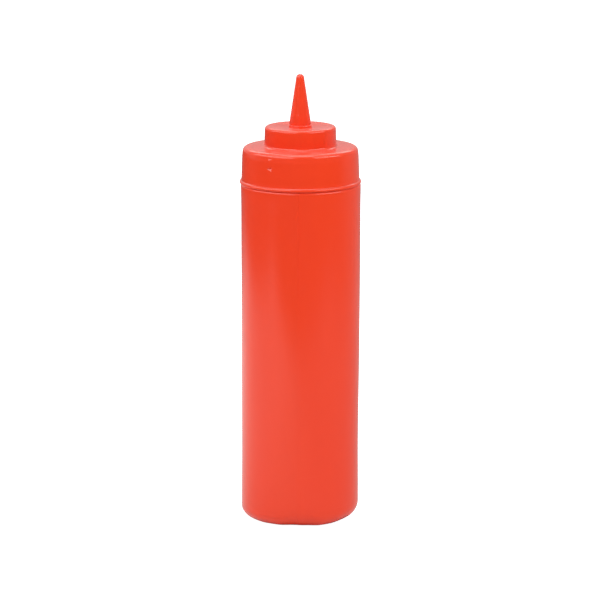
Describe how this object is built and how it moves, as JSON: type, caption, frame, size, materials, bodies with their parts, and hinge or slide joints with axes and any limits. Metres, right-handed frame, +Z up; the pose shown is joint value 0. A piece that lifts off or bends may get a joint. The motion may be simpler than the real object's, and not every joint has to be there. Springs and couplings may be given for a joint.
{
  "type": "squeeze bottle",
  "caption": "Tall cylindrical squeeze bottle for sauce with a stepped screw cap and a conical nozzle, standing upright.",
  "frame": {"origin": "centre of the base, on the surface that the bottle stands on", "axes": "+Z up along the bottle's axis to the nozzle; the mould's parting plane is the plane X = 0"},
  "size_m": [0.0718, 0.0718, 0.2673],
  "materials": {
    "bottle_plastic": "soft glossy polyethylene, orange-red all through",
    "cap_plastic": "moulded glossy polyethylene, orange-red all through"
  },
  "bodies": {
    "root": {"bottle": "bottle_plastic", "cap": "cap_plastic"}
  },
  "joints": []
}
